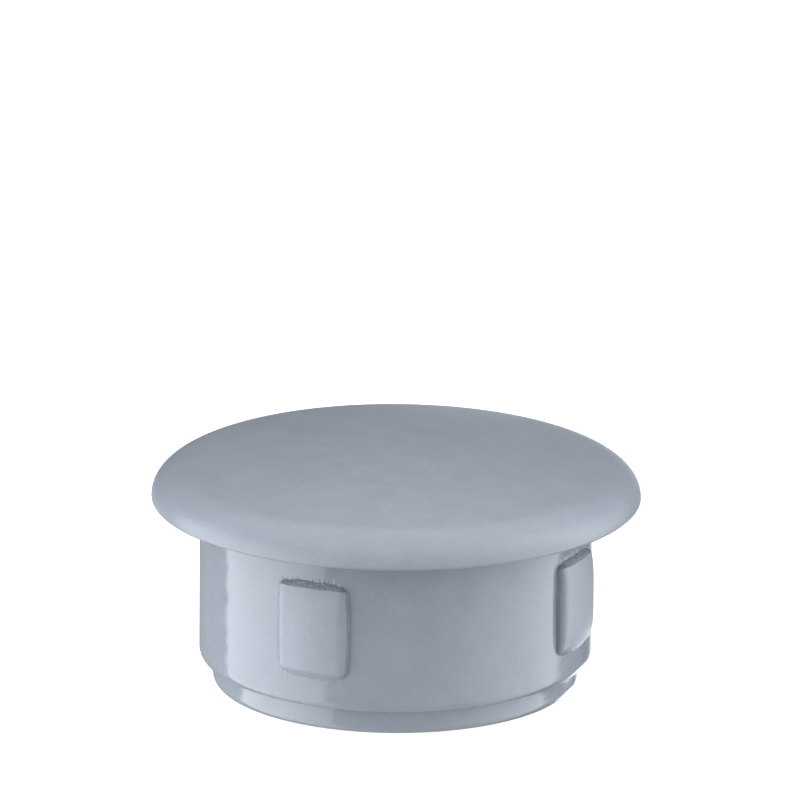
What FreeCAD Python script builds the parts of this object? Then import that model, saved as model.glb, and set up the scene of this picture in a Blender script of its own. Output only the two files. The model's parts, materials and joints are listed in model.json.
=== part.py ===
import FreeCAD, Part
import math
import os

# Push-in hole plug, moulded in one piece: a domed head with a rolled rim, a hollow skirt with three
# snap lugs, and a smaller lead-in ring that finds the hole. Sizes are in millimetres.
# The axis of the plug is Z, and z = 0 is the face of the panel that the head lies on.

# The hole that the plug fills
hole_diameter = 12.0
hole_clearance = 0.05          # radial, between the skirt and the hole

# Head
rim_overhang = 1.47            # how far the rim reaches past the skirt
head_height = 1.62             # at the crown
head_wall = 1.15               # thickness of the crown
shoulder_height = 1.025        # where the shallow crown turns down into the rim
shoulder_inset = 1.09          # the same place, measured in from the rim
rim_fullness = 0.877           # weight of the rim's conic: higher is squarer
rim_edge_chamfer = 0.08
relief_width = 0.45            # the head's underside is hollowed around the skirt
relief_depth = 0.15

# Skirt
skirt_length = 4.99            # below the panel's face
skirt_edge_radius = 0.30

# Lead-in ring
lead_in_step = 0.41            # how far it stands back from the skirt
lead_in_length = 0.78
lead_in_wall = 0.725
lead_in_edge_radius = 0.27

# Hollow inside
mouth_chamfer = 0.12
hollow_draft = 1.5             # degrees, for release from the core
hollow_root_chamfer = 0.40

# Snap lugs. Each has a crowned face with straight edges. Its base, on the skirt, reaches further than
# the face on every side, and most at the middle of a side, so its outline is bowed.
lug_angles = (-135.0, -45.0, 90.0)      # degrees from +X
lug_face_depth = 1.14          # of the face's upper edge, below the panel's face
lug_face_height = 2.62
lug_face_width = 2.26
lug_crest_proud = 0.32         # the crest is at half height
lug_end_proud = 0.22           # of the face's upper and lower edges
lug_shoulder_flare = 0.017     # how far the base reaches past the face at the ends of a side
lug_shoulder_bow = 0.143       # and how much further at the middle of that side
lug_toe_flare = 0.13
lug_toe_bow = 0.16
lug_side_bow = 0.07
lug_edge_radius = 0.12
lug_root = 0.25                # how far a lug reaches into the skirt's wall

skirt_radius = hole_diameter / 2 - hole_clearance
head_radius = skirt_radius + rim_overhang
relief_radius = skirt_radius + relief_width
lead_in_radius = skirt_radius - lead_in_step
lead_in_bottom = -(skirt_length + lead_in_length)
mouth_radius = lead_in_radius - lead_in_wall
ceiling = head_height - head_wall
lug_root_radius = skirt_radius - lug_root
lug_top = -lug_face_depth
lug_bottom = lug_top - lug_face_height
lug_middle = (lug_top + lug_bottom) / 2

AXIS = FreeCAD.Vector(0, 0, 1)
CENTRE = FreeCAD.Vector(0, 0, 0)
NEAR = 1e-4                    # two lengths closer than this are the same


def at(radius, height):
    """A point of the section, by its distance from the axis and its height."""
    return FreeCAD.Vector(radius, 0, height)


def arc(start, middle, end):
    return Part.Arc(start, middle, end).toShape()


def arc_about(centre, radius, start, end):
    """An arc of the section; its angles are in radians from +X, upwards."""

    def stop(turn):
        return centre + at(radius * math.cos(turn), radius * math.sin(turn))

    return arc(stop(start), stop((start + end) / 2), stop(end))


def conic(start, corner, end, weight):
    """A curve that leaves its start towards the corner and arrives at its end from there."""
    curve = Part.BezierCurve()
    curve.setPoles([start, corner, end])
    curve.setWeight(2, weight)
    return curve.toShape()


def lines_through(points):
    return [Part.makeLine(a, b) for a, b in zip(points, points[1:])]


def closed_face(edges):
    """The plane face inside a run of edges, which a straight edge closes."""
    first = edges[0].valueAt(edges[0].FirstParameter)
    last = edges[-1].valueAt(edges[-1].LastParameter)
    return Part.Face(Part.Wire(edges + [Part.makeLine(last, first)]))


def head_edges():
    """The head's outer side from its apex to its underside: crown, rolled rim and bottom edge."""
    shoulder = at(head_radius - shoulder_inset, shoulder_height)
    drop = head_height - shoulder_height
    crown_radius = (shoulder.x**2 + drop**2) / (2 * drop)
    crown_centre = at(0, head_height - crown_radius)
    slope = math.asin(shoulder.x / crown_radius)
    corner = at(head_radius, shoulder_height - shoulder_inset * math.tan(slope))
    rim = at(head_radius, rim_edge_chamfer)
    return [
        arc_about(crown_centre, crown_radius, math.pi / 2, math.pi / 2 - slope),
        conic(shoulder, corner, rim, rim_fullness),
        Part.makeLine(rim, at(head_radius - rim_edge_chamfer, 0)),
    ]


def hollow_points():
    """The hollow's side, from its mouth up the drafted wall and in along the flat ceiling."""
    mouth = lead_in_bottom + mouth_chamfer
    root = ceiling - hollow_root_chamfer
    root_radius = mouth_radius - (root - mouth) * math.tan(math.radians(hollow_draft))
    return [
        at(mouth_radius + mouth_chamfer, lead_in_bottom),
        at(mouth_radius, mouth),
        at(root_radius, root),
        at(root_radius - hollow_root_chamfer, ceiling),
        at(0, ceiling),
    ]


def ring_edges(shape, radius, height):
    """The full circles of a turned body that have this radius and height."""
    found = []
    for edge in shape.Edges:
        if edge.Degenerated or not isinstance(edge.Curve, Part.Circle):
            continue
        offset = edge.Curve.Center - at(0, height)
        if offset.Length < NEAR and abs(edge.Curve.Radius - radius) < NEAR:
            found.append(edge)
    return found


def make_shell():
    """The head, skirt, lead-in ring and hollow, turned from one section."""
    underside = [
        at(head_radius - rim_edge_chamfer, 0),
        at(relief_radius, 0),
        at(relief_radius, relief_depth),
        at(skirt_radius, relief_depth),
        at(skirt_radius, -skirt_length),
        at(lead_in_radius, -skirt_length),
        at(lead_in_radius, lead_in_bottom),
    ]
    section = closed_face(head_edges() + lines_through(underside + hollow_points()))
    shell = section.revolve(CENTRE, AXIS, 360)
    skirt_edge = ring_edges(shell, skirt_radius, -skirt_length)
    shell = shell.makeFillet(min(skirt_edge_radius, 0.95 * lead_in_step), skirt_edge)
    lead_in_edge = ring_edges(shell, lead_in_radius, lead_in_bottom)
    return shell.makeFillet(lead_in_edge_radius, lead_in_edge)


def lug_band():
    """A band around the skirt with the crown of the lugs' faces, twice as tall as they are."""
    half = lug_face_height / 2
    drop = lug_crest_proud - lug_end_proud
    crown_radius = (half**2 + drop**2) / (2 * drop)
    centre = at(skirt_radius + lug_crest_proud - crown_radius, lug_middle)
    turn = math.asin(lug_face_height / crown_radius)
    crown = arc_about(centre, crown_radius, turn, -turn)
    upper = at(lug_root_radius, lug_middle + lug_face_height)
    lower = at(lug_root_radius, lug_middle - lug_face_height)
    edges = [
        Part.makeLine(upper, crown.valueAt(crown.FirstParameter)),
        crown,
        Part.makeLine(crown.valueAt(crown.LastParameter), lower),
    ]
    band = closed_face(edges).revolve(CENTRE, AXIS, 360)
    band.rotate(CENTRE, AXIS, 180)
    return band


def lug_outline(spread):
    """A lug's four-sided outline across X: spread is 0 in the plane of its face, 1 at the skirt."""
    reach = skirt_radius + (1 - spread) * lug_end_proud
    half = lug_face_width / 2
    upper = lug_top + spread * lug_shoulder_flare
    lower = lug_bottom - spread * lug_toe_flare

    def place(side, height):
        return FreeCAD.Vector(reach, side, height)

    sides = half + spread * lug_side_bow
    above = upper + spread * lug_shoulder_bow
    below = lower - spread * lug_toe_bow
    return Part.Wire([
        arc(place(half, upper), place(sides, lug_middle), place(half, lower)),
        arc(place(half, lower), place(0, below), place(-half, lower)),
        arc(place(-half, lower), place(-sides, lug_middle), place(-half, upper)),
        arc(place(-half, upper), place(0, above), place(half, upper)),
    ])


def middle_of(edge):
    return edge.valueAt((edge.FirstParameter + edge.LastParameter) / 2)


def make_lug():
    """One lug on the X axis: the flared block under the crowned band, with its outer edges rounded."""
    depth = lug_end_proud + lug_root
    block = Part.makeLoft([lug_outline(1.5 * depth / lug_end_proud), lug_outline(-1)], True, True)
    lug = lug_band().common(block).Solids[0]
    # The face's edges and lower corners are rounded, and its upper edge stays crisp.
    rounded = []
    for edge in lug.Edges:
        middle = middle_of(edge)
        outside = math.hypot(middle.x, middle.y) > lug_root_radius + NEAR
        if outside and middle.z < lug_top - lug_edge_radius:
            rounded.append(edge)
    return lug.makeFillet(lug_edge_radius, rounded)


def make_plug():
    body = make_shell()
    lug = make_lug()
    for angle in lug_angles:
        turned = lug.copy()
        turned.rotate(CENTRE, AXIS, angle)
        body = body.fuse(turned)
    return body.Solids[0]


os.makedirs("parts", exist_ok=True)
plug = make_plug()
plug.exportStep("parts/plug.step")
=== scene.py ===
import cmath
import json
import math

import bpy
from mathutils import Matrix, Vector


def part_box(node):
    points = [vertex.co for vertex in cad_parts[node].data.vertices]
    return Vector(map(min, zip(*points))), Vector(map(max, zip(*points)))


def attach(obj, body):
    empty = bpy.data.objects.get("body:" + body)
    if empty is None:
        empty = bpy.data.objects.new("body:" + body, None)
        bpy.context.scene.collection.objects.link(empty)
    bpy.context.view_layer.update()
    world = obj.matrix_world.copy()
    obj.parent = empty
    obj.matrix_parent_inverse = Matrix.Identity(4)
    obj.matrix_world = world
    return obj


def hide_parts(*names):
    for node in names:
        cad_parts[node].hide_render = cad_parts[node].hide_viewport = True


bl_info = {
    "name": "Hole Plug",
    "version": (1, 0, 0),
    "blender": (4, 5, 0),
    "location": "View3D > Sidebar > Hole Plug",
    "description": "Makes a push-in plastic hole plug with snap lugs, and a plain stage for it",
    "category": "Mesh",
}

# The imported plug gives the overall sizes. Lengths are in metres, and Z is the plug's axis.
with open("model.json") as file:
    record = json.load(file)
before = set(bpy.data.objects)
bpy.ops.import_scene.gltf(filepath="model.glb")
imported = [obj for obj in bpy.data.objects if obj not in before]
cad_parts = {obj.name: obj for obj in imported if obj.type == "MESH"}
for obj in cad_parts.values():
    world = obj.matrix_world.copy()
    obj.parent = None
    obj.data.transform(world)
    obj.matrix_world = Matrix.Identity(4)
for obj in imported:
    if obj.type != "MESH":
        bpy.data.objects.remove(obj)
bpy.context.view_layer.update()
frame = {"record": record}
LOWEST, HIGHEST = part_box("plug")
SKIRT_MOUNT = next(m["dims"] for m in frame["record"]["mounts"] if m["name"] == "snap_skirt")
MM = 0.001
MICRON = 1e-6

ROOT_STEPS = 6                 # of the arc where the skirt meets the head
CRISP_STEPS = 3                # of the small arc on an edge that looks sharp
ALMOST = 0.999                 # keeps an arc just short of the next corner's point
FULLNESS = 4                   # power of the lugs' curves: higher is flatter, with a quicker fall at the ends
TOE_RAGGED, SIDE_RAGGED = 0.5, 0.35     # strength of the teeth there, against the lugs' upper end
TEETH_STRETCH = (1, 1, 0.3)    # the teeth are longer along the axis
LINE_STRETCH = (0.12, 0.12, 1)          # the fine lines run round the plug
WELD_DISTANCE = 5e-8
COLOUR_SPREAD = 0.14           # of the mottle, to each side of the plastic's colour
ROUGHNESS_SPREAD = 0.10        # of the mottle, from its smoothest to its mattest places
FLOOR_REACH = 0.5

# The soft boxes: the light in Studio that each one has, the share of it, and its edges across (turns to
# the camera's right) and upright (heights above the horizon), in degrees. Each edge is where there is no
# light yet, and how far the light takes to build up, below zero where it builds up the other way.
SOFT_BOXES = (
    ("overhead_light", 1.0, (), ((28.6, 21),)),
    ("front_light", 1.0, ((-130, 15), (140, -15)), ((-16, 3), (66, -27))),
    ("left_light", 1.0, ((0, -75), (-118.7, 2.4), (-40.5, -2)), ((-80, 45), (58, -50))),
    ("right_light", 1.0, ((4.4, 98), (112.7, -1.5)), ((-95, 95), (82, -36))),
    ("kicker_light", 1.0, ((134, 14), (171, -8)), ((-34, 6), (-19.5, -4))),
    ("low_light", 1.0, ((-10, 12), (118, -10)), ((-6, -6),)),
    ("low_light", 1.2, (), ((-45, -15),)),
    ("back_light", 1.0, ((-118, -4),), ((-5, -6),)),
    ("back_light", 1.0, ((150, 15),), ((-5, -6),)),
    ("back_light", 2.5, ((158, 12),), ((-24, 4), (3, -6))),
)


def length(name, description, default):
    return bpy.props.FloatProperty(
        name=name, description=description, default=default, min=0.0, precision=5,
        subtype="DISTANCE", unit="LENGTH",
    )


def share(name, description, default):
    return bpy.props.FloatProperty(
        name=name, description=description, default=default, min=0.0, max=1.0, subtype="FACTOR"
    )


def angle(name, description, degrees):
    return bpy.props.FloatProperty(
        name=name, description=description, default=math.radians(degrees), subtype="ANGLE", unit="ROTATION"
    )


def amount(name, description, default):
    return bpy.props.FloatProperty(name=name, description=description, default=default, min=0.0)


def zone_lengths(name, description, *defaults):
    return bpy.props.FloatVectorProperty(
        name=name, description=f"{description}: on the head, on the skirt and on the lugs", default=defaults,
        size=3, min=0.0, precision=6, unit="LENGTH",
    )


def colour(name, description, default):
    return bpy.props.FloatVectorProperty(
        name=name, description=description, default=default, size=3, min=0.0, max=1.0, subtype="COLOR"
    )


class HeadSizes(bpy.types.PropertyGroup):
    radius: length("Radius", "From the axis to the rim", HIGHEST.x)
    height: length("Height", "Of the crown above the panel", HIGHEST.z)
    shoulder_height: length("Shoulder Height", "Where the crown turns down into the rim", 1.025 * MM)
    shoulder_inset: length("Shoulder Inset", "The same place, in from the rim", 1.09 * MM)
    rim_fullness: share("Rim Fullness", "Weight of the rim's curve: higher is squarer", 0.877)
    edge_radius: length("Edge Radius", "Rounding of the rim's lower edge", 0.08 * MM)
    relief_width: length("Relief Width", "Of the shallow ring that is hollowed around the skirt", 0.45 * MM)
    relief_depth: length("Relief Depth", "Of that ring", 0.15 * MM)


class SkirtSizes(bpy.types.PropertyGroup):
    radius: length("Radius", "Of the skirt, which fills the hole", SKIRT_MOUNT["r_mm"] * MM)
    length: length("Length", "Of the skirt below the panel's face", SKIRT_MOUNT["length_mm"] * MM)
    root_radius: length("Root Radius", "Where the skirt meets the head", 0.11 * MM)
    edge_radius: length("Edge Radius", "Rounding of the skirt's lower edge", 0.30 * MM)
    step: length("Lead-in Step", "How far the lead-in ring stands back", 0.41 * MM)
    lead_in_edge_radius: length("Lead-in Edge Radius", "Rounding of the ring's lower edge", 0.27 * MM)
    wall: length("Wall", "Thickness of the lead-in ring", 0.725 * MM)
    mouth_radius: length("Mouth Edge Radius", "Rounding inside the ring's lower end", 0.12 * MM)
    draft: angle("Hollow Draft", "Of the hollow's wall", 1.5)
    head_wall: length("Crown Thickness", "Between the crown and the hollow", 1.15 * MM)
    hollow_radius: length("Hollow Root Radius", "Rounding of the hollow's upper corner", 0.40 * MM)
    crisp_radius: length("Crisp Edge Radius", "Rounding of the edges that look sharp", 0.025 * MM)


class LugSizes(bpy.types.PropertyGroup):
    count: bpy.props.IntProperty(name="Count", description="Lugs around the skirt", default=3, min=1)
    sectors: bpy.props.IntProperty(name="Sectors", description="Equal parts of the full turn", default=8)
    first_angle: angle("First Angle", "Of the first lug, from the X axis", -45.0)
    step: angle("Step", "From each sector to the next; the lugs come first, then the plain ones", 135.0)
    depth: length("Face Depth", "Of the face's upper edge below the panel's face", 1.14 * MM)
    height: length("Face Height", "Along the axis", 2.62 * MM)
    width: length("Face Width", "Across the face", 2.19 * MM)
    crest_proud: length("Crest Rise", "How far the face stands out at half height", 0.32 * MM)
    end_proud: length("End Rise", "How far its upper and lower edges stand out", 0.22 * MM)
    face_bow: length("Face Bow", "How far the face falls away towards its sides", 0.035 * MM)
    shoulder_flare: length("Shoulder Flare", "Of the base past the face's upper corners", 0.03 * MM)
    shoulder_bow: length("Shoulder Bow", "How much further it reaches in the middle", 0.135 * MM)
    toe_flare: length("Toe Flare", "Of the base past the face's lower corners", 0.175 * MM)
    toe_bow: length("Toe Bow", "How much further it reaches in the middle", 0.095 * MM)
    side_lean: length("Side Lean", "How far the sides lean in from their base to the face", 0.02 * MM)
    side_bow: length("Side Bow", "Of the base past the face's sides at half height", 0.05 * MM)
    shoulder_radius: length("Shoulder Radius", "Rounding of the face's upper edge", 0.06 * MM)
    side_radius: length("Side Radius", "Rounding of the face's sides", 0.24 * MM)
    toe_radius: length("Toe Radius", "Rounding of the face's lower edge", 0.35 * MM)
    root_radius: length("Root Radius", "Where a lug grows out of the skirt", 0.03 * MM)
    corner_radius: length("Corner Radius", "Of the outline's lower corners", 0.22 * MM)
    settle: length("Settle", "How far past a lug the rows of the mesh are level again", 0.45 * MM)
    ragged_depth: length("Ragged Depth", "Of the teeth that spark erosion leaves on the outline", 0.065 * MM)
    ragged_grain: length("Ragged Grain", "Size of those teeth", 0.06 * MM)
    ragged_reach: length("Ragged Reach", "How far the teeth spread to each side of the outline", 0.12 * MM)
    seed: bpy.props.IntProperty(name="Seed", description="Picks the pattern of the teeth", default=7)


class Finish(bpy.types.PropertyGroup):
    plastic: colour("Plastic", "Blue-grey of the moulded plastic", (0.266, 0.280, 0.314))
    head_roughness: share("Head Roughness", "The head has a fine matt grain", 0.32)
    skirt_roughness: share("Skirt Roughness", "The skirt and lead-in ring are smooth", 0.11)
    lug_roughness: share("Lug Roughness", "The lugs are satin", 0.38)
    # Painted light: this makes the lugs' base colour lighter than the rest of the plug.
    painted_lug_light: amount("Lug Brightness", "Of the lugs, against the rest", 1.07)
    # Painted shade: this darkens the base colour in the grooves beside the lugs.
    flank_shade: share("Flank Shade", "How much darker the grooves beside the lugs are", 0.22)
    pit_size: length("Pit Size", "Of the fine moulded grain", 0.1 * MM)
    line_size: length("Line Size", "Between the fine lines that run round the plug", 0.07 * MM)
    wave_size: length("Wave Size", "Of the slow unevenness", 0.9 * MM)
    pit_depth: zone_lengths("Pit Depth", "Depth of the grain", 9 * MICRON, 2 * MICRON, 9 * MICRON)
    line_depth: zone_lengths("Line Depth", "Depth of the lines", 3 * MICRON, 4 * MICRON, 0.0)
    wave_depth: zone_lengths("Wave Depth", "Depth of the unevenness", 20 * MICRON, 18 * MICRON, 24 * MICRON)


class Studio(bpy.types.PropertyGroup):
    azimuth: angle("Camera Azimuth", "From the direction of -Y, towards -X", -20.3)
    elevation: angle("Camera Elevation", "Above the horizon", 17.51)
    roll: angle("Camera Roll", "Anticlockwise", 0.38)
    distance: length("Camera Distance", "From the plug", 445 * MM)
    lens: bpy.props.FloatProperty(name="Lens", description="Focal length", default=660.0, unit="CAMERA")
    target_level: length("Target Depth", "Of the middle of the view, below the panel's face", 1.97 * MM)
    lift: length("Lift", "How far above the plug's middle the camera aims", 4.837 * MM)
    side: length("Side", "How far right of the axis the camera aims", 0.098 * MM)
    floor_colour: colour("Floor", "Pale floor", (0.50, 0.50, 0.50))
    floor_glow: amount("Floor Glow", "Light from below through the floor", 0.80)
    tint: colour("Light Tint", "Cool white of all the soft boxes", (0.899, 0.957, 1.0))
    overhead_light: amount("Overhead Light", "Brightness of the soft box overhead", 1.47)
    front_light: amount("Front Light", "Brightness of the soft box round the front", 1.03)
    left_light: amount("Left Light", "Brightness of the tall soft box at the left", 3.58)
    right_light: amount("Right Light", "Brightness of the tall soft box at the right", 3.45)
    kicker_light: amount("Kicker Light", "Brightness of the low soft box behind at the right", 3.4)
    low_light: amount("Low Light", "What comes back from the table in front", 0.42)
    back_light: amount("Back Light", "What comes back from the table behind", 0.36)


GROUPS = {"plug_head": HeadSizes, "plug_skirt": SkirtSizes, "plug_lugs": LugSizes,
          "plug_finish": Finish, "plug_studio": Studio}


def add_node(tree, kind, values=(), **settings):
    """A new node of a tree, with its settings and the values of its inputs."""
    node = tree.nodes.new(kind)
    for name, setting in settings.items():
        setattr(node, name, setting)
    for name, value in dict(values).items():
        node.inputs[name].default_value = value
    return node


def feed(tree, node, **links):
    """Links outputs to a node's inputs, which are named in lower case with underscores."""
    for name, output in links.items():
        found = [socket for socket in node.inputs if socket.name.lower().replace(" ", "_") == name]
        tree.links.new(output, found[0])
    return node


def calculate(tree, operation, *terms):
    """A Math node whose terms are numbers or outputs; gives its output."""
    node = add_node(tree, "ShaderNodeMath", operation=operation)
    for socket, term in zip(node.inputs, terms):
        if isinstance(term, bpy.types.NodeSocket):
            tree.links.new(term, socket)
        else:
            socket.default_value = term
    return node.outputs[0]


# The section. Its points are complex numbers: the real part is the distance from the axis, or across
# a lug, and the imaginary part is the level, or how far a lug stands out.

def rounded(corners):
    """A line through corners, each a point, a rounding radius and the steps that its arc takes."""
    path = [corners[0][0]]
    for (before, *_), (corner, radius, steps), (after, *_) in zip(corners, corners[1:], corners[2:]):
        back = (before - corner) / abs(before - corner)
        ahead = (after - corner) / abs(after - corner)
        half = abs(cmath.phase(ahead / back)) / 2
        start = corner + back * radius / math.tan(half)
        centre = corner + (back + ahead) / abs(back + ahead) * radius / math.sin(half)
        end = corner + ahead * radius / math.tan(half)
        turn = cmath.phase((end - centre) / (start - centre))
        path += [centre + (start - centre) * cmath.exp(1j * turn * step / steps) for step in range(steps + 1)]
    return path + [corners[-1][0]]


def divided(path, longest):
    """The same line, with more points on it wherever two lie further apart than the longest step."""
    filled = [path[0]]
    for start, end in zip(path, path[1:]):
        steps = max(1, math.ceil(abs(end - start) / longest))
        filled += [start + (end - start) * step / steps for step in range(1, steps + 1)]
    return filled


def crown_and_rim(head, crown_steps=20, rim_steps=26):
    """The head's outer side: a shallow arc from the axis, and the conic that rolls over into the rim."""
    reach = head.radius - head.shoulder_inset
    drop = head.height - head.shoulder_height
    crown_radius = (reach**2 + drop**2) / (2 * drop)
    slope = math.asin(reach / crown_radius)
    centre = 1j * (head.height - crown_radius)
    turns = [slope * step / crown_steps for step in range(crown_steps + 1)]
    crown = [centre + crown_radius * complex(math.sin(turn), math.cos(turn)) for turn in turns]
    shoulder = crown[-1]
    corner = complex(head.radius, head.shoulder_height - head.shoulder_inset * math.tan(slope))
    rim = complex(head.radius, head.edge_radius)
    rolled = []
    for step in range(1, rim_steps + 1):
        t = step / rim_steps
        weights = ((1 - t) ** 2, 2 * t * (1 - t) * head.rim_fullness, t**2)
        total = weights[0] * shoulder + weights[1] * corner + weights[2] * rim
        rolled.append(total / sum(weights))
    return crown + rolled


def underside(head, skirt, lower_end):
    """From the rim's lower edge, in under the head and down the skirt to where the lug rows begin."""
    crisp = skirt.crisp_radius
    relief = skirt.radius + head.relief_width
    return rounded([
        (complex(head.radius, head.edge_radius), 0, 0),
        (complex(head.radius, 0), ALMOST * head.edge_radius, 7),
        (complex(relief, 0), crisp, CRISP_STEPS),
        (complex(relief, head.relief_depth), crisp, CRISP_STEPS),
        (complex(skirt.radius, head.relief_depth), skirt.root_radius, ROOT_STEPS),
        (complex(skirt.radius, lower_end), 0, 0),
    ])


def foot_and_hollow(head, skirt, upper_end):
    """From below the lugs, round the lead-in ring and up inside the hollow to the axis."""
    lead_in = skirt.radius - skirt.step
    foot = LOWEST.z
    mouth = lead_in - skirt.wall
    ceiling = head.height - skirt.head_wall
    inner = mouth - (ceiling - foot) * math.tan(skirt.draft)
    return rounded([
        (complex(skirt.radius, upper_end), 0, 0),
        (complex(skirt.radius, -skirt.length), skirt.edge_radius, 12),
        (complex(lead_in, -skirt.length), skirt.crisp_radius, CRISP_STEPS),
        (complex(lead_in, foot), skirt.lead_in_edge_radius, 10),
        (complex(mouth, foot), skirt.mouth_radius, 6),
        (complex(inner, ceiling), skirt.hollow_radius, 8),
        (complex(0, ceiling), 0, 0),
    ])


def lug_rows(lugs):
    """The lug's upright section, as (level, rise) down the middle of its face."""
    top = -lugs.depth
    bottom = top - lugs.height
    shoulder_end = top + lugs.shoulder_flare + lugs.shoulder_bow
    toe_end = bottom - lugs.toe_flare - lugs.toe_bow
    tooth = lugs.ragged_grain / 3

    def face(level):
        off = (level - (top + bottom) / 2) / (lugs.height / 2)
        return complex(level, lugs.crest_proud - (lugs.crest_proud - lugs.end_proud) * off**FULLNESS)

    shoulder = rounded([
        (complex(shoulder_end + lugs.ragged_reach, 0), 0, 0),
        (complex(shoulder_end, 0), lugs.root_radius, 4),
        (complex(top, lugs.end_proud), lugs.shoulder_radius, 5),
        (face(top - 3 * lugs.shoulder_radius), 0, 0),
    ])
    toe = rounded([
        (face(bottom + lugs.toe_radius), 0, 0),
        (complex(bottom, lugs.end_proud), lugs.toe_radius, 8),
        (complex(toe_end, 0), lugs.root_radius, 4),
        (complex(toe_end - lugs.ragged_reach, 0), 0, 0),
    ])
    start, end = shoulder[-1].real, toe[0].real
    steps = 16
    middle = [face(start + (end - start) * step / steps) for step in range(1, steps)]
    return divided(shoulder, tooth) + middle + divided(toe, 1.5 * tooth)


def lug_columns(lugs):
    """Half of the lug's level section: (across, share of the rise), from the middle of the face out."""
    half = lugs.width / 2
    steps = 10
    face = [complex(half * t / steps, lugs.crest_proud - lugs.face_bow * (t / steps) ** 2)
            for t in range(steps - 1)]
    side = rounded([
        (face[-1], 0, 0),
        (complex(half - lugs.side_lean / 2, lugs.crest_proud - lugs.face_bow), lugs.side_radius, 8),
        (complex(half + lugs.side_lean / 2, 0), lugs.root_radius, 4),
        (complex(half + lugs.ragged_reach, 0), 0, 0),
    ])
    path = [point for point in face if point.real < side[1].real] + side[1:]
    return [complex(p.real, p.imag / lugs.crest_proud) for p in divided(path, lugs.ragged_grain / 2)]


def bowed_level(lugs, level, across, outward):
    """The level of a row's point: the upper and lower edges of a lug's base bow out in the middle.

    Across is 0 at the lug's middle and 1 at its side, and outward is 1 at the edge of its sector.
    """
    top = -lugs.depth
    bottom = top - lugs.height
    ends = ((level - top, 1, lugs.shoulder_flare, lugs.shoulder_bow),
            (bottom - level, -1, lugs.toe_flare, lugs.toe_bow))
    for beyond, way, flare, bow in ends:
        if beyond > 0:
            lost = bow * across**FULLNESS * (1 - outward) / (flare + bow)
            fade = 1 - (beyond - flare - bow) / lugs.settle
            return level - way * lost * min(beyond, flare + bow) * min(1.0, max(0.0, fade))
    return level


def corner_cut(lugs, level):
    """How much the corners' rounding takes off each side of a lug at this level of its side."""
    lower = level + lugs.depth + lugs.height + lugs.toe_flare
    upper = lugs.shoulder_flare - lugs.depth - level
    taken = 0.0
    for inward, radius in ((lower, lugs.corner_radius), (upper, lugs.corner_radius / 2)):
        off = min(radius, max(0.0, radius - inward))
        cut = radius - math.sqrt(radius**2 - off**2)
        taken += cut * max(0.0, 1 + min(0.0, inward) / lugs.settle)
    return taken


def lug_place(skirt, lugs, level, rise, column, outward, half_turn):
    """Turn, reach and level of a point of the lug's sector, from its row and its column."""
    proud = rise * column.imag
    share_across = min(1.0, column.real / (lugs.width / 2))
    off = min(1.0, abs(level + lugs.depth + lugs.height / 2) / (lugs.height / 2))
    spread = 1 - proud / lugs.crest_proud
    side = lugs.side_bow * (1 - off**2) * spread - corner_cut(lugs, bowed_level(lugs, level, 1, 0))
    across = column.real + side * share_across**2
    turn = math.asin(across / (skirt.radius + proud))
    turn += (half_turn - turn) * outward
    return turn, skirt.radius + proud, bowed_level(lugs, level, share_across, outward)


def section_rows(head, skirt, lugs):
    """The whole section, apex to hollow: (reach, level, lug rise, is on the skirt) for each row."""
    rows = lug_rows(lugs)
    above = crown_and_rim(head)
    under = underside(head, skirt, rows[0].real)
    wall = divided(under[-2:], lugs.settle / 4)
    below = foot_and_hollow(head, skirt, rows[-1].real)
    root = len(under) - ROOT_STEPS - 2
    found = [(p.real, p.imag, 0.0, 0.0) for p in above + under[1:root]]
    found += [(p.real, p.imag, 0.0, 1.0) for p in under[root:-1] + wall[1:-1]]
    found += [(skirt.radius, p.real, p.imag, 1.0) for p in rows]
    found += [(p.real, p.imag, 0.0, 1.0) for p in divided(below[:2], lugs.settle / 4)[1:] + below[2:]]
    return found


def sector_mesh(head, skirt, lugs):
    """A sector with a lug and one without, laid out flat: x is the turn, y the reach and z the level.

    The columns of the first follow the lug's outline, and the tree below wraps both round the axis.
    """
    half_turn = math.pi / lugs.sectors
    rows = section_rows(head, skirt, lugs)
    columns = lug_columns(lugs)
    outer_steps = 9
    right = [(c, 0.0) for c in columns]
    right += [(columns[-1], step / outer_steps) for step in range(1, outer_steps + 1)]
    lug_layout = [(-1, *entry) for entry in reversed(right[1:])] + [(1, *entry) for entry in right]
    plain_steps = 14
    plain_layout = [step * 2 / plain_steps - 1 for step in range(plain_steps + 1)]
    places, faces = [], []
    # One of these marks is the mask of painted shade in the grooves beside the lugs.
    marks = {"lug": [], "skirt": [], "ragged": [], "flank": [], "has_lug": []}

    def add_point(place, **values):
        places.append(place)
        for name, value in values.items():
            marks[name].append(value)

    def add_grid(width):
        start = len(places) - width * len(rows)
        for row in range(len(rows) - 1):
            for column in range(width - 1):
                corner = start + row * width + column
                faces.append((corner, corner + width, corner + width + 1, corner + 1))

    for reach, level, rise, on_skirt in rows:
        for side, column, outward in lug_layout:
            turn, far, height = lug_place(skirt, lugs, level, rise, column, outward, half_turn)
            beside_lug = reach == skirt.radius
            add_point(
                (side * turn, far if beside_lug else reach, height if beside_lug else level),
                lug=min(1.0, rise * column.imag / lugs.end_proud), skirt=on_skirt,
                ragged=raggedness(lugs, level, column, outward) if beside_lug else 0.0,
                flank=painted_groove_shade_mask(lugs, rise, column, outward) if beside_lug else 0.0, has_lug=1.0,
            )
    add_grid(len(lug_layout))
    for reach, level, rise, on_skirt in rows:
        for share_turn in plain_layout:
            add_point((share_turn * half_turn, reach, level),
                      lug=0.0, skirt=on_skirt, ragged=0.0, flank=0.0, has_lug=0.0)
    add_grid(len(plain_layout))
    mesh = bpy.data.meshes.new("plug_sectors")
    mesh.from_pydata(places, [], faces)
    for name, values in marks.items():
        mesh.attributes.new(name, "FLOAT", "POINT").data.foreach_set("value", values)
    return mesh


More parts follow.
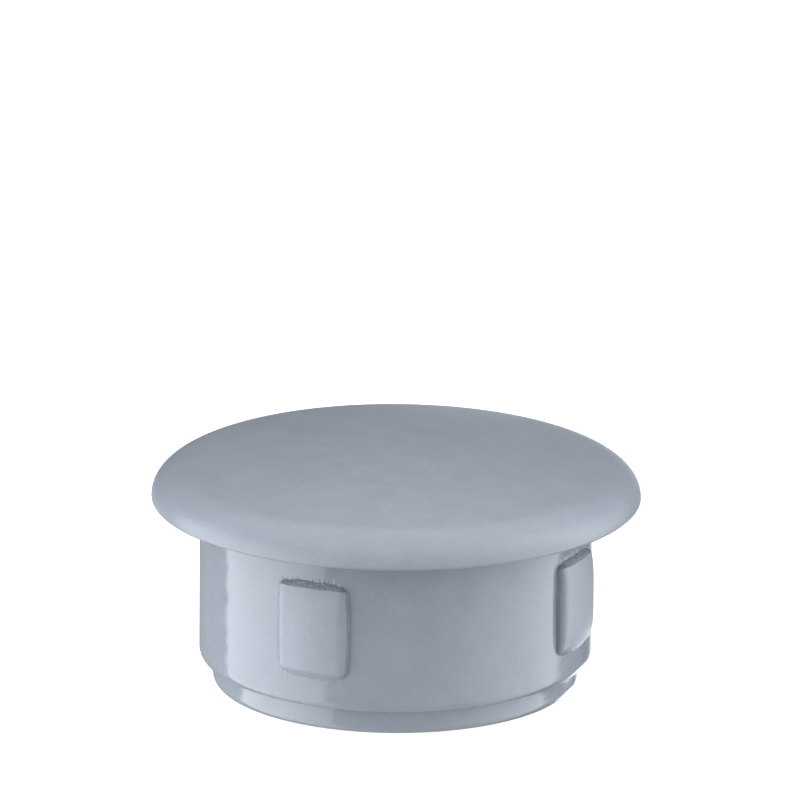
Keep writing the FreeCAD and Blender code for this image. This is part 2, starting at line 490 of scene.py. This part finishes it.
def raggedness(lugs, level, column, outward):
    """How strongly the outline's teeth move a point: fully at the upper end, less at toe and sides."""
    if outward > 0:
        return 0.0
    shoulder_end = lugs.shoulder_flare + lugs.shoulder_bow - lugs.depth
    toe_end = -lugs.depth - lugs.height - lugs.toe_flare - lugs.toe_bow

    def near(distance):
        return max(0.0, 1 - abs(distance) / lugs.ragged_reach)

    off_side = column.real - lugs.width / 2
    inside = 1.0 if off_side <= 0 else near(off_side)
    above = level - shoulder_end
    ends = max(near(above if above > 0 else above / 2), TOE_RAGGED * near(level - toe_end))
    between = 1.0 if toe_end < level < shoulder_end else 0.0
    return max(ends * inside, SIDE_RAGGED * near(off_side) * between)


def painted_groove_shade_mask(lugs, rise, column, outward):
    """How strongly painted shade darkens a point in the groove beside a lug: 1 on its side, 0 on the face and
    the skirt.
    """
    if outward > 0:
        return 0.0
    off_side = abs(column.real - lugs.width / 2)
    return max(0.0, 1 - off_side / lugs.ragged_reach) * min(1.0, rise / lugs.end_proud)


def turning_tree():
    """The node tree that wraps the flat sector round the axis, repeats it and roughens the outline."""
    tree = bpy.data.node_groups.new("turn_and_repeat", "GeometryNodeTree")
    sockets = (
        ("Sectors", "NodeSocketGeometry"), ("Lugs", "NodeSocketInt"), ("Copies", "NodeSocketInt"),
        ("First Angle", "NodeSocketFloat"), ("Step", "NodeSocketFloat"),
        ("Ragged Depth", "NodeSocketFloat"), ("Ragged Grain", "NodeSocketFloat"),
        ("Seed", "NodeSocketFloat"), ("Weld Distance", "NodeSocketFloat"), ("Plastic", "NodeSocketMaterial"),
    )
    for name, kind in sockets:
        tree.interface.new_socket(name, in_out="INPUT", socket_type=kind)
    tree.interface.new_socket("Plug", in_out="OUTPUT", socket_type="NodeSocketGeometry")
    given = add_node(tree, "NodeGroupInput").outputs

    flat = add_node(tree, "ShaderNodeSeparateXYZ")
    tree.links.new(add_node(tree, "GeometryNodeInputPosition").outputs[0], flat.inputs[0])
    turn, reach, level = flat.outputs
    across = calculate(tree, "MULTIPLY", reach, calculate(tree, "COSINE", turn))
    along = calculate(tree, "MULTIPLY", reach, calculate(tree, "SINE", turn))
    wrapped_place = feed(tree, add_node(tree, "ShaderNodeCombineXYZ"), x=across, y=along, z=level)
    wrapped = add_node(tree, "GeometryNodeSetPosition")
    feed(tree, wrapped, geometry=given["Sectors"], position=wrapped_place.outputs[0])

    with_lug = add_node(tree, "GeometryNodeInputNamedAttribute", {"Name": "has_lug"}, data_type="FLOAT")
    apart = add_node(tree, "GeometryNodeSeparateGeometry", domain="POINT")
    feed(tree, apart, geometry=wrapped.outputs[0], selection=with_lug.outputs["Attribute"])
    kinds = add_node(tree, "GeometryNodeJoinGeometry")
    # Joined parts are numbered from the last, so the plain sector is 0 and the one with a lug is 1.
    for sector in apart.outputs:
        instance = feed(tree, add_node(tree, "GeometryNodeGeometryToInstance"), geometry=sector)
        feed(tree, kinds, geometry=instance.outputs[0])

    points = feed(tree, add_node(tree, "GeometryNodePoints"), count=given["Copies"])
    index = add_node(tree, "GeometryNodeInputIndex").outputs[0]
    turned = calculate(tree, "MULTIPLY_ADD", index, given["Step"], given["First Angle"])
    rotation = feed(tree, add_node(tree, "ShaderNodeCombineXYZ"), z=turned)
    has_lug = calculate(tree, "LESS_THAN", index, given["Lugs"])
    copies = add_node(tree, "GeometryNodeInstanceOnPoints", {"Pick Instance": True})
    feed(tree, copies, points=points.outputs[0], instance=kinds.outputs[0], instance_index=has_lug,
         rotation=rotation.outputs[0])
    real = feed(tree, add_node(tree, "GeometryNodeRealizeInstances"), geometry=copies.outputs[0])
    welded = add_node(tree, "GeometryNodeMergeByDistance")
    feed(tree, welded, geometry=real.outputs[0], distance=given["Weld Distance"])

    drawn_out = add_node(tree, "ShaderNodeVectorMath", operation="MULTIPLY")
    drawn_out.inputs[1].default_value = TEETH_STRETCH
    tree.links.new(add_node(tree, "GeometryNodeInputPosition").outputs[0], drawn_out.inputs[0])
    noise = add_node(tree, "ShaderNodeTexNoise", {"Detail": 2.0}, noise_dimensions="4D")
    frequency = calculate(tree, "DIVIDE", 1.0, given["Ragged Grain"])
    feed(tree, noise, vector=drawn_out.outputs[0], w=given["Seed"], scale=frequency)
    # The noise runs from 0 to 1, so it is centred here and doubled below.
    centred = add_node(tree, "ShaderNodeVectorMath", operation="SUBTRACT")
    centred.inputs[1].default_value = (0.5, 0.5, 0.5)
    tree.links.new(noise.outputs["Color"], centred.inputs[0])
    mask = add_node(tree, "GeometryNodeInputNamedAttribute", {"Name": "ragged"}, data_type="FLOAT")
    strength = calculate(tree, "MULTIPLY", mask.outputs["Attribute"], given["Ragged Depth"])
    teeth = add_node(tree, "ShaderNodeVectorMath", operation="SCALE")
    feed(tree, teeth, vector=centred.outputs[0], scale=calculate(tree, "MULTIPLY", strength, 2.0))
    roughened = add_node(tree, "GeometryNodeSetPosition")
    feed(tree, roughened, geometry=welded.outputs[0], offset=teeth.outputs[0])

    smooth = feed(tree, add_node(tree, "GeometryNodeSetShadeSmooth"), geometry=roughened.outputs[0])
    painted = add_node(tree, "GeometryNodeSetMaterial")
    feed(tree, painted, geometry=smooth.outputs[0], material=given["Plastic"])
    feed(tree, add_node(tree, "NodeGroupOutput"), plug=painted.outputs[0])
    return tree


def grown(sector, tree, inputs):
    """The plain mesh that the tree makes of the sector."""
    source = bpy.data.objects.new("plug_sectors", sector)
    bpy.context.scene.collection.objects.link(source)
    modifier = source.modifiers.new("turn_and_repeat", "NODES")
    modifier.node_group = tree
    for item in tree.interface.items_tree:
        if item.name in inputs:
            modifier[item.identifier] = inputs[item.name]
    evaluated = source.evaluated_get(bpy.context.evaluated_depsgraph_get())
    mesh = bpy.data.meshes.new_from_object(evaluated)
    source.modifiers.remove(modifier)
    bpy.data.objects.remove(source)
    return mesh


def shader_group(name, inputs, outputs):
    """An empty shader node group with named sockets; gives it with its input and output nodes."""
    group = bpy.data.node_groups.new(name, "ShaderNodeTree")
    for socket, kind in inputs.items():
        group.interface.new_socket(socket, in_out="INPUT", socket_type=kind)
    for socket, kind in outputs.items():
        group.interface.new_socket(socket, in_out="OUTPUT", socket_type=kind)
    return group, add_node(group, "NodeGroupInput").outputs, add_node(group, "NodeGroupOutput")


def zone_group():
    """Picks one of three values by where a point lies: on the head, on the skirt or on a lug."""
    kinds = dict.fromkeys(("Head", "Skirt", "Lug"), "NodeSocketFloat")
    group, given, result = shader_group("plug_zones", kinds, {"Value": "NodeSocketFloat"})
    value = given["Head"]
    for name in ("Skirt", "Lug"):
        mask = add_node(group, "ShaderNodeAttribute", attribute_name=name.lower())
        mix = add_node(group, "ShaderNodeMix")
        group.links.new(mask.outputs["Fac"], mix.inputs["Factor"])
        group.links.new(value, mix.inputs["A"])
        group.links.new(given[name], mix.inputs["B"])
        value = mix.outputs[0]
    group.links.new(value, result.inputs[0])
    return group


def grain_group():
    """Moulded grain: fine pits, lines round the plug and a slow unevenness.

    It puts out their height, and the unevenness and the pits as patterns from 0 to 1.
    """
    group, given, result = shader_group(
        "moulded_grain",
        {"Vector": "NodeSocketVector", "Pit Size": "NodeSocketFloat", "Pit Depth": "NodeSocketFloat",
         "Line Size": "NodeSocketFloat", "Line Depth": "NodeSocketFloat",
         "Wave Size": "NodeSocketFloat", "Wave Depth": "NodeSocketFloat"},
        {"Height": "NodeSocketFloat", "Mottle": "NodeSocketFloat", "Speckle": "NodeSocketFloat"},
    )
    around = add_node(group, "ShaderNodeVectorMath", operation="MULTIPLY")
    around.inputs[1].default_value = LINE_STRETCH
    group.links.new(given["Vector"], around.inputs[0])
    height = 0.0
    found = {}
    for kind, vector, detail in (("Pit", given["Vector"], 2.0), ("Line", around.outputs[0], 3.0),
                                 ("Wave", given["Vector"], 3.0)):
        noise = add_node(group, "ShaderNodeTexNoise", {"Detail": detail})
        frequency = calculate(group, "DIVIDE", 1.0, given[f"{kind} Size"])
        feed(group, noise, vector=vector, scale=frequency)
        height = calculate(group, "MULTIPLY_ADD", noise.outputs[0], given[f"{kind} Depth"], height)
        found[kind] = noise.outputs[0]
    feed(group, result, height=height, mottle=found["Wave"], speckle=found["Pit"])
    return group


def plastic_material(finish):
    """Blue-grey moulded plastic: matt grain on the head, smooth skirt, satin lugs, with painted shade beside
    the lugs and painted light on them.
    """
    material = bpy.data.materials.new("plug_plastic")
    material.use_nodes = True
    tree = material.node_tree
    shader = tree.nodes["Principled BSDF"]
    shader.inputs["IOR"].default_value = 1.5
    place = add_node(tree, "ShaderNodeTexCoord").outputs["Object"]
    zones = zone_group()

    def by_zone(head, skirt, lug):
        node = add_node(tree, "ShaderNodeGroup", node_tree=zones)
        for name, value in (("Head", head), ("Skirt", skirt), ("Lug", lug)):
            node.inputs[name].default_value = value
        return node.outputs[0]

    grain = add_node(tree, "ShaderNodeGroup", node_tree=grain_group())
    grain.inputs["Pit Size"].default_value = finish.pit_size
    grain.inputs["Line Size"].default_value = finish.line_size
    grain.inputs["Wave Size"].default_value = finish.wave_size
    feed(tree, grain, vector=place, pit_depth=by_zone(*finish.pit_depth),
         line_depth=by_zone(*finish.line_depth), wave_depth=by_zone(*finish.wave_depth))
    bump = add_node(tree, "ShaderNodeBump", {"Distance": 1.0, "Strength": 1.0})
    feed(tree, bump, height=grain.outputs["Height"])
    feed(tree, shader, normal=bump.outputs[0])

    spread = calculate(tree, "MULTIPLY_ADD", grain.outputs["Mottle"], ROUGHNESS_SPREAD, -ROUGHNESS_SPREAD / 2)
    roughness = by_zone(finish.head_roughness, finish.skirt_roughness, finish.lug_roughness)
    feed(tree, shader, roughness=calculate(tree, "ADD", roughness, spread))

    tint = add_node(tree, "ShaderNodeMix", data_type="RGBA")
    tint.inputs["A"].default_value = (*((1 - COLOUR_SPREAD) * c for c in finish.plastic), 1)
    tint.inputs["B"].default_value = (*((1 + COLOUR_SPREAD) * c for c in finish.plastic), 1)
    patches = calculate(tree, "ADD", grain.outputs["Mottle"], grain.outputs["Speckle"])
    tree.links.new(calculate(tree, "MULTIPLY", patches, 0.5), tint.inputs["Factor"])
    # Painted shade in the grooves beside the lugs, and painted light on the lugs, scale the base colour.
    flank = add_node(tree, "ShaderNodeAttribute", attribute_name="flank").outputs["Fac"]
    painted_light_and_shade = add_node(tree, "ShaderNodeVectorMath", operation="SCALE")
    feed(tree, painted_light_and_shade, vector=tint.outputs["Result"],
         scale=calculate(tree, "MULTIPLY_ADD", flank, -finish.flank_shade,
                         by_zone(1.0, 1.0, finish.painted_lug_light)))
    tree.links.new(painted_light_and_shade.outputs[0], shader.inputs["Base Color"])
    return material


def open_edges(mesh):
    """How many edges don't lie between exactly two faces."""
    uses = [0] * len(mesh.edges)
    for loop in mesh.loops:
        uses[loop.edge_index] += 1
    return sum(count != 2 for count in uses)


class PLUG_OT_build_plug(bpy.types.Operator):
    """Makes the plug in one closed mesh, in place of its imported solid"""

    bl_idname = "hole_plug.build_plug"
    bl_label = "Build Plug"

    def execute(self, context):
        scene = context.scene
        lugs = scene.plug_lugs
        sector = sector_mesh(scene.plug_head, scene.plug_skirt, lugs)
        material = plastic_material(scene.plug_finish)
        mesh = grown(sector, turning_tree(), {
            "Lugs": lugs.count, "Copies": lugs.sectors, "First Angle": lugs.first_angle, "Step": lugs.step,
            "Ragged Depth": lugs.ragged_depth, "Ragged Grain": lugs.ragged_grain, "Seed": float(lugs.seed),
            "Weld Distance": WELD_DISTANCE, "Plastic": material,
        })
        if open_edges(mesh):
            raise RuntimeError(f"the plug's mesh has {open_edges(mesh)} open edges")
        plug = bpy.data.objects.new("plug_body", mesh)
        scene.collection.objects.link(plug)
        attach(plug, "root")
        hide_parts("plug")
        return {"FINISHED"}


def toward(studio, side, height):
    """The unit direction at this angle to the camera's right and above the horizon, in degrees."""
    turn = studio.azimuth - math.pi / 2 + math.radians(side)
    rise = math.radians(height)
    return Vector((math.cos(turn) * math.cos(rise), math.sin(turn) * math.cos(rise), math.sin(rise)))


def aimed(direction):
    """The rotation of a camera that stands in this direction and looks back."""
    return (-direction).to_track_quat("-Z", "Y").to_euler()


def add_camera(scene, studio):
    data = bpy.data.cameras.new("camera")
    data.sensor_width = 36.0
    data.lens = studio.lens
    camera = bpy.data.objects.new("camera", data)
    back = toward(studio, 0, math.degrees(studio.elevation))
    right = Vector((0, 0, 1)).cross(back).normalized()
    up = back.cross(right)
    middle = Vector((0, 0, -studio.target_level))
    camera.location = middle + back * studio.distance
    aim = middle + up * studio.lift + right * studio.side
    turn = Matrix.Rotation(studio.roll, 3, "Z")
    camera.rotation_euler = (aimed((camera.location - aim).normalized()).to_matrix() @ turn).to_euler()
    scene.collection.objects.link(camera)
    scene.camera = camera


def ramp(tree, value, start, fade):
    """Rises from 0 at the start to 1 after the fade; a fade below zero makes it fall instead."""
    node = add_node(tree, "ShaderNodeMath", operation="DIVIDE", use_clamp=True)
    tree.links.new(calculate(tree, "SUBTRACT", value, start), node.inputs[0])
    node.inputs[1].default_value = fade
    return node.outputs[0]


def soft_box(tree, turn, rise, light, across, upright):
    """The light of one soft box, between its edges."""
    level = light
    for value, edges in ((turn, across), (rise, upright)):
        for start, fade in edges:
            level = calculate(tree, "MULTIPLY", ramp(tree, value, start, fade), level)
    return level


def add_floor(scene, studio):
    """A pale sheet, lit from below too, that only the camera sees."""
    material = bpy.data.materials.new("floor_white")
    material.use_nodes = True
    shader = material.node_tree.nodes["Principled BSDF"]
    shader.inputs["Base Color"].default_value = (*studio.floor_colour, 1)
    shader.inputs["Roughness"].default_value = 1.0
    shader.inputs["Specular IOR Level"].default_value = 0.0
    shader.inputs["Emission Color"].default_value = (1, 1, 1, 1)
    shader.inputs["Emission Strength"].default_value = studio.floor_glow
    corners = [(x * FLOOR_REACH, y * FLOOR_REACH) for x, y in ((-1, -1), (1, -1), (1, 1), (-1, 1))]
    mesh = bpy.data.meshes.new("floor")
    mesh.from_pydata([(x, y, LOWEST.z) for x, y in corners], [], [(0, 1, 2, 3)])
    mesh.materials.append(material)
    floor = bpy.data.objects.new("floor", mesh)
    floor.visible_diffuse = False
    floor.visible_glossy = False
    floor.visible_shadow = False
    scene.collection.objects.link(floor)


def add_room(scene, studio):
    """Soft boxes in a dark room, by the turn to the camera's right and the rise; the camera sees white."""
    world = bpy.data.worlds.new("soft_boxes")
    world.use_nodes = True
    tree = world.node_tree
    place = add_node(tree, "ShaderNodeTexCoord").outputs["Generated"]
    facing = add_node(tree, "ShaderNodeVectorRotate", {"Angle": math.pi / 2 - studio.azimuth},
                      rotation_type="Z_AXIS")
    feed(tree, facing, vector=place)
    apart = feed(tree, add_node(tree, "ShaderNodeSeparateXYZ"), vector=facing.outputs[0])
    x, y, z = apart.outputs
    degree = math.degrees(1)
    turn = calculate(tree, "MULTIPLY", calculate(tree, "ARCTAN2", y, x), degree)
    rise = calculate(tree, "MULTIPLY", calculate(tree, "ARCSINE", z), degree)
    light = 0.0
    for name, part, across, upright in SOFT_BOXES:
        box = soft_box(tree, turn, rise, part * getattr(studio, name), across, upright)
        light = calculate(tree, "MAXIMUM", light, box)
    seen = add_node(tree, "ShaderNodeLightPath").outputs["Is Camera Ray"]
    light = calculate(tree, "MAXIMUM", light, seen)
    cool = add_node(tree, "ShaderNodeMix", data_type="RGBA")
    cool.inputs["A"].default_value = (*studio.tint, 1)
    cool.inputs["B"].default_value = (1, 1, 1, 1)
    tree.links.new(seen, cool.inputs["Factor"])
    background = tree.nodes["Background"]
    tree.links.new(cool.outputs["Result"], background.inputs["Color"])
    feed(tree, background, strength=light)
    scene.world = world


class PLUG_OT_build_stage(bpy.types.Operator):
    """Adds a pale floor, soft studio light and the camera"""

    bl_idname = "hole_plug.build_stage"
    bl_label = "Build Stage"

    def execute(self, context):
        scene = context.scene
        studio = scene.plug_studio
        add_camera(scene, studio)
        add_floor(scene, studio)
        add_room(scene, studio)
        scene.view_settings.view_transform = "Standard"
        return {"FINISHED"}


class PLUG_PT_panel(bpy.types.Panel):
    """Lists the sizes and finishes of the plug, and builds it"""

    bl_idname = "PLUG_PT_panel"
    bl_label = "Hole Plug"
    bl_space_type = "VIEW_3D"
    bl_region_type = "UI"
    bl_category = "Hole Plug"

    def draw(self, context):
        layout = self.layout
        for name, group in GROUPS.items():
            box = layout.box()
            values = getattr(context.scene, name)
            for prop in group.__annotations__:
                box.prop(values, prop)
        for operator in OPERATORS:
            layout.operator(operator.bl_idname)


OPERATORS = (PLUG_OT_build_plug, PLUG_OT_build_stage)
CLASSES = (*GROUPS.values(), *OPERATORS, PLUG_PT_panel)


def register():
    for cls in CLASSES:
        bpy.utils.register_class(cls)
    for name, group in GROUPS.items():
        setattr(bpy.types.Scene, name, bpy.props.PointerProperty(type=group))


def unregister():
    for name in GROUPS:
        delattr(bpy.types.Scene, name)
    for cls in reversed(CLASSES):
        bpy.utils.unregister_class(cls)


def main():
    register()
    bpy.ops.hole_plug.build_plug()
    bpy.ops.hole_plug.build_stage()


if __name__ == "__main__":
    main()
